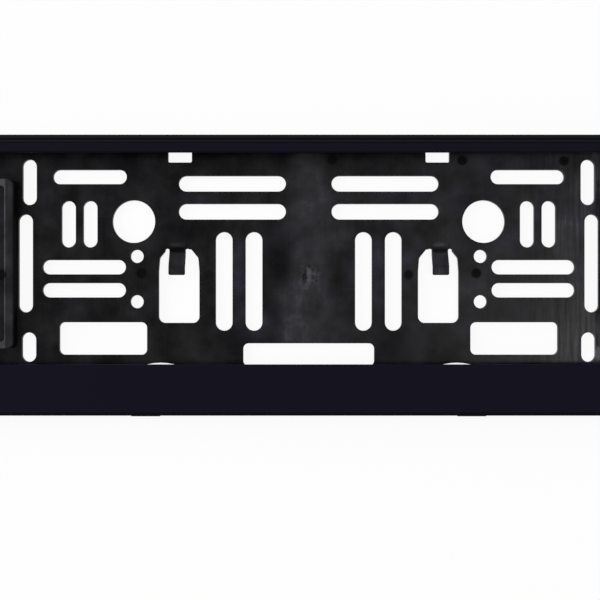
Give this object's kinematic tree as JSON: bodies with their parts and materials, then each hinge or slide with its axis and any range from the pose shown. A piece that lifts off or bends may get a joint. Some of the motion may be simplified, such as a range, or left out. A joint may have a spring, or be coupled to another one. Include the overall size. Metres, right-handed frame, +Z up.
{
  "type": "number plate holder",
  "caption": "Moulded holder for a long number plate: a slotted base plate with raised end pads and spring tongues, and a clip-on frame with a tall lower strip.",
  "frame": {"origin": "middle of the holder's flat back, at mid-length and mid-height of the frame", "axes": "+X along the length, +Z up as fitted to the car, +Y out of the back towards the car, so the face looks along -Y"},
  "size_m": [0.532, 0.0126, 0.1359],
  "materials": {
    "base_plastic": "moulded black polypropylene, matt with flow streaks",
    "frame_plastic": "moulded black polypropylene with a fine satin grain"
  },
  "bodies": {
    "root": {"base_plate": "base_plastic", "frame": "frame_plastic"}
  },
  "joints": []
}
